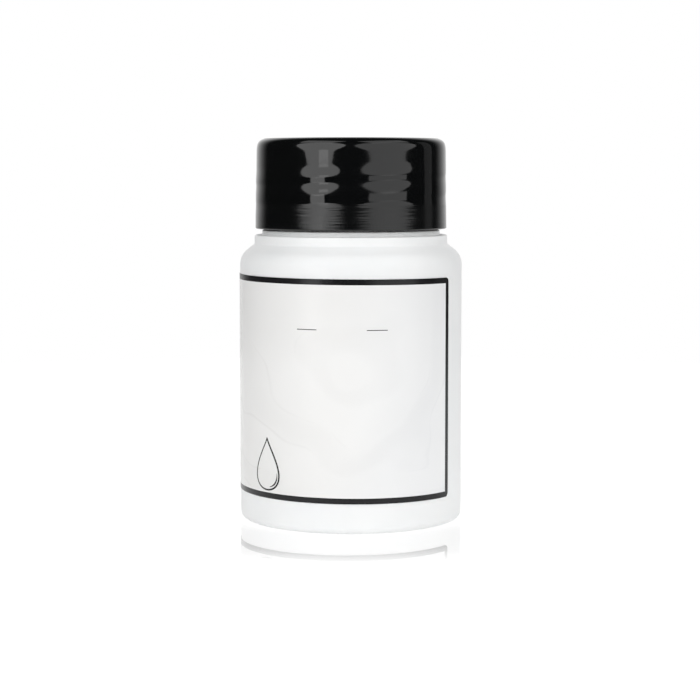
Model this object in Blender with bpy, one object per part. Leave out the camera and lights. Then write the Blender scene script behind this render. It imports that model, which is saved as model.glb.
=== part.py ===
"""Wide-mouth screw-top jar with a foam insert, a wrap-round label and a lined cap.

Lengths are in metres and +Z is up. The origin is the middle of the ring that the jar stands on, and the
jar's axis is the Z axis. The front of the label faces -Y, and the gap between its ends faces +X.
"""

import math

import bmesh
import bpy
from mathutils import Vector

MM = 0.001

# Fits between pieces
SEAT_GAP = 0.3 * MM  # between two pieces that bear on each other in use
THREAD_CLEARANCE = 0.3 * MM  # between a thread's crest and the wall that it runs past
LABEL_GAP = 0.2 * MM  # between the film and the wall behind it

# Body of the pot
BODY_RADIUS = 24.5 * MM
BODY_WALL = 1.2 * MM
BASE_ROUNDING = 2.1 * MM
FLOOR_THICKNESS = 1.3 * MM
FLOOR_ROUNDING = 2.5 * MM
PUSH_UP_HEIGHT = 1.2 * MM
PUSH_UP_ROUNDING = 1.5 * MM
FOOT_WIDTH = 2.6 * MM  # flat width of the ring that the jar stands on

# Shoulder of the pot
SHOULDER_HEIGHT = 60.87 * MM  # where the shoulder's cone meets the shoulder ring
SHOULDER_SLOPE = math.radians(38.8)
SHOULDER_ROUNDING = 4.1 * MM
RING_RADIUS = 21.32 * MM
RING_HEIGHT = 1.98 * MM
RING_DRAFT = 0.1 * MM  # how much narrower the ring's top is than its foot
RING_ROUNDING = 0.35 * MM
RING_FOOT_ROUNDING = 0.5 * MM

# Neck finish of the pot
BEAD_RADIUS = 19.6 * MM
BEAD_HEIGHT = 1.05 * MM
BEAD_ROUNDING = 0.25 * MM
NECK_RADIUS = 17.55 * MM
NECK_WALL = 1.75 * MM
NECK_HEIGHT = 17.0 * MM  # from the bead's top to the rim
NECK_FOOT_ROUNDING = 0.5 * MM
BORE_ROUNDING = 1.0 * MM
RIM_ROUNDING = 0.4 * MM

# Thread, cut to the same form on the neck and in the cap
THREAD_PITCH = 25.4 / 6 * MM
THREAD_DEPTH = 1.2 * MM
THREAD_CREST_WIDTH = 0.6 * MM
LOAD_FLANK = math.radians(10)  # the flank that pulls the cap down, from square to the axis
LEAD_FLANK = math.radians(45)
NECK_THREAD_TURNS = 1.5
NECK_THREAD_START = math.radians(-118.125)  # from +X; puts the cap's thread under the sink marks that show
THREAD_TO_RIM = 1.5 * MM
CAP_THREAD_DROP = 0.25  # turns that the cap's thread starts below the neck's
CAP_THREAD_TO_KEEPER = 0.25 * MM  # from the upper end of the cap's thread to the bead over it
THREAD_FADE = math.radians(28)  # how far round each end of a thread takes to rise from its wall
THREAD_ROOTING = 0.4 * MM  # depth of a thread's foot inside its wall

# Cap
CAP_WALL = 1.82 * MM  # at the top of the skirt
CAP_DRAFT = math.radians(0.8)
CAP_TOP_THICKNESS = 1.4 * MM
CAP_TOP_ROUNDING = 1.9 * MM
CAP_SKIRT_ROUNDING = 0.3 * MM
CAP_INNER_ROUNDING = 0.4 * MM

# Liner, and the bead in the cap that keeps it in
LINER_THICKNESS = 1.0 * MM
LINER_EDGE_ROUNDING = 0.2 * MM
KEEPER_REACH = 0.75 * MM  # how far the bead stands in from the cap's wall
KEEPER_HEIGHT = 0.8 * MM

# Foam insert
SPONGE_TO_SHOULDER = 0.5 * MM  # from the foam's top to where the wall turns in
SPONGE_TOP_ROUNDING = 3.0 * MM
FINGER_HOLE_RADIUS = 6.0 * MM
FINGER_HOLE_FLOOR = 9.0 * MM  # foam left under the hole
FINGER_HOLE_MOUTH_ROUNDING = 1.6 * MM
FINGER_HOLE_FLOOR_ROUNDING = 2.5 * MM

# Label
LABEL_THICKNESS = 0.15 * MM
LABEL_TO_BASE = 4.5 * MM  # from the label to the base rounding
LABEL_TO_SHOULDER = 2.15 * MM  # from the label to the shoulder rounding
LABEL_SPAN = math.radians(316)
LABEL_RIGHT_END = math.radians(58.5)  # from the front, towards +X
LABEL_CORNER_ROUNDING = 1.0 * MM

# Facets
SEGMENTS = 64
ARC_TOLERANCE = 0.042 * MM
LABEL_CORNER_STEPS = 3
SHARP_EDGE = math.radians(32)
MERGE_DISTANCE = 0.001 * MM


def shoulder_line(radius):
    """Height of the outer shoulder's cone at a radius, carried on past the cone's ends."""
    return SHOULDER_HEIGHT - (radius - RING_RADIUS) * math.tan(SHOULDER_SLOPE)


def inner_shoulder_line(radius):
    return shoulder_line(radius) - BODY_WALL / math.cos(SHOULDER_SLOPE)


def straight_below_shoulder(corner_height, rounding):
    """Height at which a wall stops being straight, below the rounded corner where the cone meets it."""
    return corner_height - rounding * math.tan((math.pi / 2 - SHOULDER_SLOPE) / 2)


# Places that follow from the sizes above
FLOOR_TOP = PUSH_UP_HEIGHT + FLOOR_THICKNESS
INNER_RADIUS = BODY_RADIUS - BODY_WALL
INNER_SHOULDER_ROUNDING = SHOULDER_ROUNDING - BODY_WALL
INNER_WALL_TOP = straight_below_shoulder(inner_shoulder_line(INNER_RADIUS), INNER_SHOULDER_ROUNDING)
OUTER_WALL_TOP = straight_below_shoulder(shoulder_line(BODY_RADIUS), SHOULDER_ROUNDING)
BORE_RADIUS = NECK_RADIUS - NECK_WALL
FOOT_RADIUS = BODY_RADIUS - BASE_ROUNDING
RING_TOP = SHOULDER_HEIGHT + RING_HEIGHT
BEAD_TOP = RING_TOP + BEAD_HEIGHT
RIM_TOP = BEAD_TOP + NECK_HEIGHT
SKIRT_BOTTOM = BEAD_TOP + SEAT_GAP
LINER_BOTTOM = RIM_TOP + SEAT_GAP
LINER_TOP = LINER_BOTTOM + LINER_THICKNESS
CAP_CEILING = LINER_TOP + SEAT_GAP
CAP_TOP = CAP_CEILING + CAP_TOP_THICKNESS
CAP_BORE_RADIUS = NECK_RADIUS + THREAD_DEPTH + THREAD_CLEARANCE
CAP_TOP_RADIUS = CAP_BORE_RADIUS + CAP_WALL
CAP_SKIRT_RADIUS = CAP_TOP_RADIUS + (CAP_TOP - SKIRT_BOTTOM) * math.tan(CAP_DRAFT)
LINER_RADIUS = CAP_BORE_RADIUS - SEAT_GAP
KEEPER_TOP = LINER_BOTTOM - SEAT_GAP
KEEPER_BOTTOM = KEEPER_TOP - KEEPER_HEIGHT
THREAD_ROOT_WIDTH = THREAD_CREST_WIDTH + THREAD_DEPTH * (math.tan(LOAD_FLANK) + math.tan(LEAD_FLANK))
NECK_THREAD_BOTTOM = RIM_TOP - THREAD_TO_RIM - THREAD_ROOT_WIDTH - NECK_THREAD_TURNS * THREAD_PITCH
CAP_THREAD_BOTTOM = NECK_THREAD_BOTTOM - CAP_THREAD_DROP * THREAD_PITCH - THREAD_CLEARANCE
CAP_THREAD_TURNS = (KEEPER_BOTTOM - CAP_THREAD_TO_KEEPER - CAP_THREAD_BOTTOM) / THREAD_PITCH
CAP_THREAD_START = NECK_THREAD_START - CAP_THREAD_DROP * 2 * math.pi
SPONGE_BOTTOM = FLOOR_TOP + SEAT_GAP
SPONGE_TOP = INNER_WALL_TOP - SPONGE_TO_SHOULDER
SPONGE_RADIUS = INNER_RADIUS - SEAT_GAP
LABEL_BOTTOM = BASE_ROUNDING + LABEL_TO_BASE
LABEL_TOP = OUTER_WALL_TOP - LABEL_TO_SHOULDER


def clear_scene():
    for found in list(bpy.data.objects):
        bpy.data.objects.remove(found, do_unlink=True)


def surface(name, colour, roughness):
    """A material of one colour, given as linear red, green and blue."""
    material = bpy.data.materials.new(name)
    material.use_nodes = True
    shader = material.node_tree.nodes["Principled BSDF"]
    shader.inputs["Base Color"].default_value = (*colour, 1.0)
    shader.inputs["Roughness"].default_value = roughness
    shader.inputs["Metallic"].default_value = 0.0
    return material


def corner_arc(before, corner, after, rounding):
    """Points of the arc of radius rounding that replaces a corner of an outline."""
    to_before = (before - corner).normalized()
    to_after = (after - corner).normalized()
    half_angle = to_before.angle(to_after) / 2
    centre = corner + (to_before + to_after).normalized() * rounding / math.sin(half_angle)
    reach = rounding / math.tan(half_angle)
    start = corner + to_before * reach - centre
    end = corner + to_after * reach - centre
    turn = math.pi - 2 * half_angle
    steps = math.ceil(turn / (2 * math.acos(1 - ARC_TOLERANCE / rounding)))
    points = []
    for step in range(steps + 1):
        angle = turn * step / steps
        spoke = (start * math.sin(turn - angle) + end * math.sin(angle)) / math.sin(turn)
        points.append(centre + spoke)
    return points


def rounded(corners):
    """Turns corners of (radius, height, rounding) into the points of a profile."""
    places = [Vector((radius, height)) for radius, height, rounding in corners]
    points = []
    for index, (place, corner) in enumerate(zip(places, corners)):
        rounding = corner[2]
        if rounding:
            points += corner_arc(places[index - 1], place, places[index + 1], rounding)
        else:
            points.append(place)
    return points


def add_object(name, bm, material, origin_height):
    """Makes an object whose origin is on the jar's axis, at a height."""
    bmesh.ops.recalc_face_normals(bm, faces=bm.faces)
    mesh = bpy.data.meshes.new(name)
    bm.to_mesh(mesh)
    bm.free()
    mesh.shade_smooth()
    mesh.set_sharp_from_angle(angle=SHARP_EDGE)
    mesh.materials.append(material)
    made = bpy.data.objects.new(name, mesh)
    made.location = (0, 0, origin_height)
    bpy.context.scene.collection.objects.link(made)
    return made


def turned(name, corners, material, origin_height=0.0):
    """A closed solid of revolution from a profile that starts and ends on the axis."""
    bm = bmesh.new()
    verts = [bm.verts.new((point.x, 0, point.y - origin_height)) for point in rounded(corners)]
    edges = [bm.edges.new(pair) for pair in zip(verts, verts[1:])]
    bmesh.ops.spin(
        bm,
        geom=verts + edges,
        cent=(0, 0, 0),
        axis=(0, 0, 1),
        angle=2 * math.pi,
        steps=SEGMENTS,
        use_merge=True,
    )
    bmesh.ops.remove_doubles(bm, verts=bm.verts, dist=MERGE_DISTANCE)
    return add_object(name, bm, material, origin_height)


def skin_between(bm, sections):
    """Joins closed sections of equally many vertices into one closed solid."""
    for section, following in zip(sections, sections[1:]):
        for index, vert in enumerate(section):
            previous = index - 1
            bm.faces.new((section[previous], vert, following[index], following[previous]))
    bm.faces.new(sections[0])
    bm.faces.new(sections[-1])


def thread(name, wall_radius, outward, depth, bottom, turns, start_angle, material, origin_height):
    """A right-hand thread that rises from a round wall, as a solid rooted inside that wall.

    outward is 1 for a thread round a neck and -1 for a thread inside a cap. The load flank faces down on
    a neck and up in a cap, and bottom is the height of its lower end at the wall. The thread's length is
    taken to whole facets of the wall.
    """
    bm = bmesh.new()
    steps = round(turns * SEGMENTS)
    sections = []
    for step in range(steps + 1):
        turned_by = 2 * math.pi * step / SEGMENTS
        left = 2 * math.pi * (steps - step) / SEGMENTS
        rise = min(1.0, turned_by / THREAD_FADE, left / THREAD_FADE)
        crest = (depth + THREAD_ROOTING / 2) * rise - THREAD_ROOTING / 2
        load_height = bottom + THREAD_PITCH * turned_by / (2 * math.pi) - origin_height
        section = []
        for reach, flank in ((-THREAD_ROOTING, 0), (crest, 0), (crest, 1), (-THREAD_ROOTING, 1)):
            radius = wall_radius + outward * reach
            if flank == 0:
                height = load_height + outward * reach * math.tan(LOAD_FLANK)
            else:
                height = load_height + outward * (THREAD_ROOT_WIDTH - reach * math.tan(LEAD_FLANK))
            angle = start_angle + turned_by
            section.append(bm.verts.new((radius * math.cos(angle), radius * math.sin(angle), height)))
        sections.append(section)
    skin_between(bm, sections)
    made = add_object(name, bm, material, origin_height)
    made.hide_render = True
    made.display_type = "WIRE"
    return made


def unite(target, tool):
    modifier = target.modifiers.new(tool.name, "BOOLEAN")
    modifier.operation = "UNION"
    modifier.solver = "EXACT"
    modifier.object = tool


def make_pot(material):
    """The moulded jar: its profile runs up the inside, over the rim and down the outside."""
    push_up_radius = FOOT_RADIUS - FOOT_WIDTH
    corners = [
        (0, FLOOR_TOP, 0),
        (INNER_RADIUS, FLOOR_TOP, FLOOR_ROUNDING),
        (INNER_RADIUS, inner_shoulder_line(INNER_RADIUS), INNER_SHOULDER_ROUNDING),
        (BORE_RADIUS, inner_shoulder_line(BORE_RADIUS), BORE_ROUNDING),
        (BORE_RADIUS, RIM_TOP, RIM_ROUNDING),
        (NECK_RADIUS, RIM_TOP, RIM_ROUNDING),
        (NECK_RADIUS, BEAD_TOP, NECK_FOOT_ROUNDING),
        (BEAD_RADIUS, BEAD_TOP, BEAD_ROUNDING),
        (BEAD_RADIUS, RING_TOP, 0),
        (RING_RADIUS - RING_DRAFT, RING_TOP, RING_ROUNDING),
        (RING_RADIUS, SHOULDER_HEIGHT, RING_FOOT_ROUNDING),
        (BODY_RADIUS, shoulder_line(BODY_RADIUS), SHOULDER_ROUNDING),
        (BODY_RADIUS, 0, BASE_ROUNDING),
        (push_up_radius, 0, 0),
        (push_up_radius - PUSH_UP_HEIGHT, PUSH_UP_HEIGHT, PUSH_UP_ROUNDING),
        (0, PUSH_UP_HEIGHT, 0),
    ]
    pot = turned("pot", corners, material)
    ridge = thread(
        name="neck_thread",
        wall_radius=NECK_RADIUS,
        outward=1,
        depth=THREAD_DEPTH,
        bottom=NECK_THREAD_BOTTOM,
        turns=NECK_THREAD_TURNS,
        start_angle=NECK_THREAD_START,
        material=material,
        origin_height=0,
    )
    unite(pot, ridge)
    return pot


def make_cap(material):
    """The cap: a shell with draft outside, a thread and a liner keeper inside."""
    keeper_radius = CAP_BORE_RADIUS - KEEPER_REACH
    corners = [
        (0, CAP_CEILING, 0),
        (CAP_BORE_RADIUS, CAP_CEILING, CAP_INNER_ROUNDING),
        (CAP_BORE_RADIUS, KEEPER_TOP, 0),
        (keeper_radius, (KEEPER_TOP + KEEPER_BOTTOM) / 2, 0),
        (CAP_BORE_RADIUS, KEEPER_BOTTOM, 0),
        (CAP_BORE_RADIUS, SKIRT_BOTTOM, CAP_SKIRT_ROUNDING),
        (CAP_SKIRT_RADIUS, SKIRT_BOTTOM, CAP_SKIRT_ROUNDING),
        (CAP_TOP_RADIUS, CAP_TOP, CAP_TOP_ROUNDING),
        (0, CAP_TOP, 0),
    ]
    cap = turned("cap", corners, material, SKIRT_BOTTOM)
    ridge = thread(
        name="cap_thread",
        wall_radius=CAP_BORE_RADIUS,
        outward=-1,
        depth=THREAD_DEPTH,
        bottom=CAP_THREAD_BOTTOM,
        turns=CAP_THREAD_TURNS,
        start_angle=CAP_THREAD_START,
        material=material,
        origin_height=SKIRT_BOTTOM,
    )
    unite(cap, ridge)
    return [cap, ridge]


def make_liner(material):
    corners = [
        (0, LINER_BOTTOM, 0),
        (LINER_RADIUS, LINER_BOTTOM, LINER_EDGE_ROUNDING),
        (LINER_RADIUS, LINER_TOP, LINER_EDGE_ROUNDING),
        (0, LINER_TOP, 0),
    ]
    return turned("cap_liner", corners, material, LINER_BOTTOM)


def make_sponge(material):
    """The foam insert, a seat gap clear of the pot's floor and wall, with a blind finger hole."""
    hole_floor = SPONGE_BOTTOM + FINGER_HOLE_FLOOR
    corners = [
        (0, SPONGE_BOTTOM, 0),
        (SPONGE_RADIUS, SPONGE_BOTTOM, FLOOR_ROUNDING - SEAT_GAP),
        (SPONGE_RADIUS, SPONGE_TOP, SPONGE_TOP_ROUNDING),
        (FINGER_HOLE_RADIUS, SPONGE_TOP, FINGER_HOLE_MOUTH_ROUNDING),
        (FINGER_HOLE_RADIUS, hole_floor, FINGER_HOLE_FLOOR_ROUNDING),
        (0, hole_floor, 0),
    ]
    return turned("sponge", corners, material, SPONGE_BOTTOM)


def label_columns():
    """Places round the label, as pairs of arc length from its nearer end and angle from the front."""
    radius = BODY_RADIUS + LABEL_GAP
    corner_turn = LABEL_CORNER_ROUNDING / radius
    left_end = LABEL_RIGHT_END - LABEL_SPAN
    columns = []
    for step in range(LABEL_CORNER_STEPS):
        share = 1 - math.cos(math.pi / 2 * step / LABEL_CORNER_STEPS)
        columns.append((share * LABEL_CORNER_ROUNDING, share * corner_turn))
    middle_span = LABEL_SPAN - 2 * corner_turn
    steps = round(middle_span / (2 * math.pi) * SEGMENTS)
    middle = []
    for step in range(steps + 1):
        middle.append((LABEL_CORNER_ROUNDING, left_end + corner_turn + middle_span * step / steps))
    left = [(from_end, left_end + turn) for from_end, turn in columns]
    right = [(from_end, LABEL_RIGHT_END - turn) for from_end, turn in reversed(columns)]
    return left + middle + right


def make_label(material):
    """The film: a thin shell round the body, with rounded corners at its two ends."""
    bm = bmesh.new()
    inner_radius = BODY_RADIUS + LABEL_GAP
    outer_radius = inner_radius + LABEL_THICKNESS
    sections = []
    for from_end, angle in label_columns():
        short_of_arc = LABEL_CORNER_ROUNDING - from_end
        drop = LABEL_CORNER_ROUNDING - math.sqrt(LABEL_CORNER_ROUNDING**2 - short_of_arc**2)
        section = []
        for radius, height in (
            (inner_radius, LABEL_BOTTOM + drop),
            (outer_radius, LABEL_BOTTOM + drop),
            (outer_radius, LABEL_TOP - drop),
            (inner_radius, LABEL_TOP - drop),
        ):
            place = (radius * math.sin(angle), -radius * math.cos(angle), height)
            section.append(bm.verts.new(place))
        sections.append(section)
    skin_between(bm, sections)
    return add_object("label", bm, material, 0)


def hang_on_screw_axis(pieces):
    """Parents the pieces that unscrew to one empty, which stands on the thread's axis at the rim."""
    axis = bpy.data.objects.new("cap_screw_axis", None)
    axis.location = (0, 0, RIM_TOP)
    bpy.context.scene.collection.objects.link(axis)
    for piece in pieces:
        piece.location.z -= RIM_TOP
        piece.parent = axis


def main():
    clear_scene()
    make_pot(surface("white_moulding", (0.84, 0.85, 0.85), 0.42))
    make_label(surface("printed_film", (0.80, 0.80, 0.81), 0.30))
    make_sponge(surface("grey_foam", (0.62, 0.62, 0.64), 0.95))
    cap_and_thread = make_cap(surface("black_gloss", (0.006, 0.006, 0.007), 0.12))
    liner = make_liner(surface("white_wad", (0.86, 0.86, 0.84), 0.70))
    hang_on_screw_axis([liner, *cap_and_thread])


main()
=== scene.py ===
"""Looks of the screw-top dip jar: moulded pot, wrap-round label, foam insert, glossy cap and its liner.

Lengths are in millimetres until a mesh is made, and metres in the scene. The front of the label faces -Y.
"""

import math

import bmesh
import bpy
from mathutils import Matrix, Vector, noise


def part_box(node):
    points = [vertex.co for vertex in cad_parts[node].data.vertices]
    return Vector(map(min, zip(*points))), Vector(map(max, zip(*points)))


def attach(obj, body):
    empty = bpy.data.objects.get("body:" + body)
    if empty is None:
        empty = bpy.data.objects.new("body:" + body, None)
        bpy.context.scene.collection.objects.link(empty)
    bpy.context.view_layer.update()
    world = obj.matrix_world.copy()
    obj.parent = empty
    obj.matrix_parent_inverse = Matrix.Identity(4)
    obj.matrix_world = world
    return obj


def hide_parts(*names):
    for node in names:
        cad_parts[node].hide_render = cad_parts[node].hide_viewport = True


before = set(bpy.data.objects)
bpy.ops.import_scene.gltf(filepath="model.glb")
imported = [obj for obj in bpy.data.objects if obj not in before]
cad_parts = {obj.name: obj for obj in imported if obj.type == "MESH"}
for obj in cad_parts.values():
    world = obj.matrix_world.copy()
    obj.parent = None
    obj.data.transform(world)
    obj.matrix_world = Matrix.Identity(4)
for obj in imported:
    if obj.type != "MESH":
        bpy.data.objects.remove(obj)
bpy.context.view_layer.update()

MM = 0.001

# Sizes read from the frame, in millimetres
pot_low, pot_high = (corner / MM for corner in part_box("pot"))
cap_low, cap_high = (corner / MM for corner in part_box("cap"))
liner_low, liner_high = (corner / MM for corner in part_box("cap_liner"))
sponge_low, sponge_high = (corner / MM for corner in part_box("sponge"))
label_low, label_high = (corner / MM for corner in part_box("label"))
BODY_RADIUS = pot_high.x
RIM_TOP = pot_high.z
CAP_TOP = cap_high.z
SKIRT_BOTTOM = cap_low.z
CAP_SKIRT_RADIUS = cap_high.x
LINER_RADIUS = liner_high.x
LINER_BOTTOM = liner_low.z
LINER_TOP = liner_high.z
SPONGE_RADIUS = sponge_high.x
SPONGE_BOTTOM = sponge_low.z
SPONGE_TOP = sponge_high.z
LABEL_BOTTOM = label_low.z
LABEL_TOP = label_high.z

# Fits between pieces, in millimetres
SEAT_GAP = 0.3

# Pot, in millimetres
BODY_WALL = 1.2
BASE_ROUNDING = 2.1  # of the solid, which sets where the push-up base starts
BASE_EDGE_ROUNDING = 1.6  # of the visible foot, as in the photo
FLOOR_TOP = 2.5
FLOOR_ROUNDING = 2.5
PUSH_UP_HEIGHT = 1.2
PUSH_UP_ROUNDING = 1.5
FOOT_WIDTH = 2.6
FOOT_ROUNDING = 0.25
SHOULDER_HEIGHT = 60.87
SHOULDER_SLOPE = math.radians(38.8)
SHOULDER_ROUNDING = 4.1
RING_RADIUS = 21.32
RING_TOP = 62.85
RING_DRAFT = 0.1
RING_ROUNDING = 0.35
RING_FOOT_ROUNDING = 0.5
BEAD_RADIUS = 19.6
BEAD_TOP = SKIRT_BOTTOM - SEAT_GAP
BEAD_ROUNDING = 0.25
BEAD_FOOT_ROUNDING = 0.2
NECK_RADIUS = 17.55
NECK_WALL = 1.75
NECK_FOOT_ROUNDING = 0.5
BORE_ROUNDING = 1.0
RIM_ROUNDING = 0.4
GATE_RADIUS = 1.3  # the mark that the moulding gate leaves under the base
GATE_HEIGHT = 0.18
GATE_SLOPE = 0.15
GATE_ROUNDINGS = (0.08, 0.06)  # at its foot and on its face

# Thread, in millimetres and turns
THREAD_PITCH = 25.4 / 6
THREAD_DEPTH = 1.2
THREAD_CREST_WIDTH = 0.6
LOAD_FLANK = math.radians(10)
LEAD_FLANK = math.radians(45)
THREAD_TO_RIM = 1.5
THREAD_CLEARANCE = 0.3
THREAD_FADE = math.radians(28)
THREAD_CREST_ROUNDING = 0.18
THREAD_ROOT_WIDTH = THREAD_CREST_WIDTH + THREAD_DEPTH * (math.tan(LOAD_FLANK) + math.tan(LEAD_FLANK))
NECK_THREAD_TURNS = 1.5
NECK_THREAD_START = math.radians(-118.125)
NECK_THREAD_BOTTOM = RIM_TOP - THREAD_TO_RIM - THREAD_ROOT_WIDTH - NECK_THREAD_TURNS * THREAD_PITCH
NECK_THREAD_ZONE = (NECK_THREAD_BOTTOM - 0.5, RIM_TOP - 1)  # heights that get fine rows
CAP_THREAD_DROP = 0.25
CAP_THREAD_TO_KEEPER = 0.25

# Cap, in millimetres
CAP_BORE_RADIUS = NECK_RADIUS + THREAD_DEPTH + THREAD_CLEARANCE
CAP_WALL = 1.82
CAP_TOP_RADIUS = CAP_BORE_RADIUS + CAP_WALL
CAP_CEILING = LINER_TOP + SEAT_GAP
CAP_TOP_ROUNDING = 1.9
CAP_SKIRT_ROUNDING = 0.3
CAP_INNER_ROUNDING = 0.4
CAP_GATE_RADIUS = 1.0
CAP_GATE_DEPTH = 0.06
CAP_GATE_ROUNDING = 0.04
KEEPER_REACH = 0.75  # of the bead that keeps the liner in
KEEPER_ROUNDING = 0.15
KEEPER_HEIGHT = 0.8
KEEPER_TOP = LINER_BOTTOM - SEAT_GAP
KEEPER_BOTTOM = KEEPER_TOP - KEEPER_HEIGHT
CAP_THREAD_BOTTOM = NECK_THREAD_BOTTOM - CAP_THREAD_DROP * THREAD_PITCH - THREAD_CLEARANCE
CAP_THREAD_TURNS = (KEEPER_BOTTOM - CAP_THREAD_TO_KEEPER - CAP_THREAD_BOTTOM) / THREAD_PITCH
CAP_THREAD_START = NECK_THREAD_START - CAP_THREAD_DROP * 2 * math.pi
CAP_THREAD_ZONE = (SKIRT_BOTTOM + 1, KEEPER_BOTTOM)  # heights that get fine rows
CAP_INSIDE = CAP_BORE_RADIUS + 0.3  # points up to this radius belong to the cap's inside
CAP_OUTSIDE = CAP_TOP_RADIUS - 0.1  # and from this one to its skirt's outside
SINK_DEPTH = 0.078  # dents outside, where the thread inside makes the wall thicker
SINK_WIDTH_BELOW = 1.35
SINK_WIDTH_ABOVE = 0.75
SINK_RISE = 0.3  # of a dent's middle, above the middle of the thread
SINK_RUN_ON = 0.2  # turns that the last dent runs on past the thread, as in the photo
LAST_SINK_DEPTH = 0.15  # below the thread's last turn
LAST_SINK_WIDTH = 2.3
SINK_FADE = math.radians(50)
CORNER_SINK_DEPTH = 0.055  # the like dent where the skirt meets the top
CORNER_SINK_WIDTH = 0.6
CORNER_SINK_DROP = 1.5  # of the dent's middle, from the top
CROWN_DEPTH = 0.06  # how much the top of the skirt leans in beyond the draft
CROWN_HEIGHT = 5.7
SKIRT_INSET = 0.05  # the foot and the top of the skirt, against the straight draft of the solid
TOP_SWELL = 0.145  # beyond the straight draft, where the crown starts to lean in
FLARE_DEPTH = 0.05  # how much the foot of the skirt widens beyond the draft
FLARE_HEIGHT = 6.0
UNEVENNESS = 0.008
UNEVENNESS_SCALE = 0.22  # waves per millimetre
TOP_SATIN = 0.36  # added roughness of the flat top
TOP_SATIN_EDGE = (CAP_TOP - 0.12, CAP_TOP - 0.03)
GROOVE_SATIN = 0.09  # added roughness of the fine grooves
GROOVE_FADE = (SKIRT_BOTTOM + 5.0, SKIRT_BOTTOM + 6.0)
GROOVE_LEAN = 0.045  # slope of the fine grooves' faces
GROOVE_LEAN_TOP = SKIRT_BOTTOM + 5.2
GROOVE_EASE = 2.2  # height over which the lean sets in

# Liner, in millimetres
LINER_ROUNDING = 0.2
PRESS_DEPTH = 0.12  # of the ring that the jar's rim has pressed into it
PRESS_ROUNDING = 0.1
PRESS_REACH = 0.2  # of the ring's slopes, beyond the rim
PRESS_INSET = 0.1  # of the ring's flat, inside the rim's edges

# Foam insert, in millimetres
SPONGE_TOP_ROUNDING = 3.0
HOLE_RADIUS = 6.0
HOLE_FLOOR = 9.0
HOLE_MOUTH_ROUNDING = 1.6
HOLE_FLOOR_ROUNDING = 2.5
FOAM_UNEVENNESS = 0.11
COARSE_TEAR = 0.55  # waves per millimetre
FINE_TEAR = 1.3
FINE_TEAR_SHARE = 0.6  # of the coarse tear's depth
UNLIKE_PLACE = 90  # far enough up to give a second, unlike pattern

# Label, in millimetres
FILM_STANDOFF = 0.02
FILM_THICKNESS = 0.11
FILM_SPAN = math.radians(316)
FILM_RIGHT_END = math.radians(58.6)  # from the front, towards +X
FILM_CORNER_ROUNDING = 1.0
FILM_SLANT = math.radians(0.36)  # the film was put on a little askew, higher at the left
BORDER_WIDTH = 1.22
PRINT_LIFT = 0.012  # how far the printed lines stand off the film
LINE_WIDTH = 0.35
RULE_HEIGHT = 43.5  # two short rules, either side of the front's middle
RULE_WIDTH = 0.16
LEFT_RULE = (math.radians(-27.6), math.radians(-17.2))
RIGHT_RULE = (math.radians(7.8), math.radians(18.3))
DROP_MIDDLE = math.radians(-47.0)
DROP_HEIGHT = 14.0  # of the middle of the drop-shaped outline
DROP_HALF_HEIGHT = 5.6
DROP_HALF_WIDTH = 3.55
DROP_SHARPNESS = 1.5
DROP_LINE_SWELL = 0.2  # the line is wider on the right by this share, and narrower on the left
CRESCENT_SIZE = 0.84  # of the drop's own size
CRESCENT_START = 0.30  # round the drop, in turns
CRESCENT_LENGTH = 0.17
CRESCENT_TIP_WIDTH = 0.06
CRESCENT_SWELL = 0.30  # added to the width of the tips in its middle

# Marble, in millimetres and waves per millimetre
WARP_SCALE = 0.03
WARP_REACH = (22, 22, 22)
CLOUD_SCALE = 0.032
CLOUD_SHARE = 0.38
SWIRL_MIDDLE = (7, -13.5, 49)  # of the curved bands, in warped coordinates
BAND_SCALE = 0.019
BAND_WOBBLE = 5.0
BAND_SHARE = 0.20
VEIN_LEVEL = 0.6  # of the bands' wave, where a vein runs
VEIN_WIDTH = 0.11
VEIN_SHARE = 0.5
VEIN_PATCH_SCALE = 0.06
VEIN_START = (12.0, 17.0)  # distances from the bands' middle over which the veins set in
TONE_REACH = (0.0, 34.0)  # places across, in warped coordinates, between the left and the right tone
LOW_END = (LABEL_BOTTOM + 2.0, LABEL_BOTTOM + 34.0)  # heights over which the low end's tones fade out
LOW_LEFT = (-24.0, 4.0)  # and places across, for its darker left
LOW_RIGHT = (-2.0, 17.0)  # and for its brighter right
LOW_LEFT_SHARE = 0.5

# Finishes, as ranges of roughness
POT_ROUGHNESS = (0.36, 0.46)
CAP_ROUGHNESS = (0.05, 0.10)
FILM_ROUGHNESS = (0.22, 0.27)
INK_ROUGHNESS = (0.20, 0.26)
FILM_SPECULAR = 0.32

# Colours, as linear shares of light
POT_WHITES = ((0.885, 0.897, 0.899), (0.903, 0.911, 0.910))
CAP_BLACK = (0.0026, 0.0029, 0.0031, 1.0)
FILM_GROUNDS = ((0.895, 0.892, 0.882), (0.890, 0.896, 0.900))  # from the left to the right
FILM_MARBLES = ((0.800, 0.796, 0.784), (0.788, 0.798, 0.811))
FILM_BRIGHT = (0.935, 0.938, 0.938)  # ground at the low right
INK_BLACKS = ((0.0060, 0.0060, 0.0065), (0.0085, 0.0085, 0.0095))
FOAM_GREYS = ((0.50, 0.50, 0.52), (0.60, 0.60, 0.62))
# painted shade: the dark grey given to the foam's pores, where shade falls inside the cells
PAINTED_PORE_SHADE = (0.22, 0.22, 0.235)
WAD_WHITES = ((0.80, 0.80, 0.78), (0.86, 0.86, 0.845))
FLOOR_PAINT = (0.94, 0.94, 0.94, 1.0)
PLAIN_WHITE = (1.0, 1.0, 1.0, 1.0)

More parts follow.
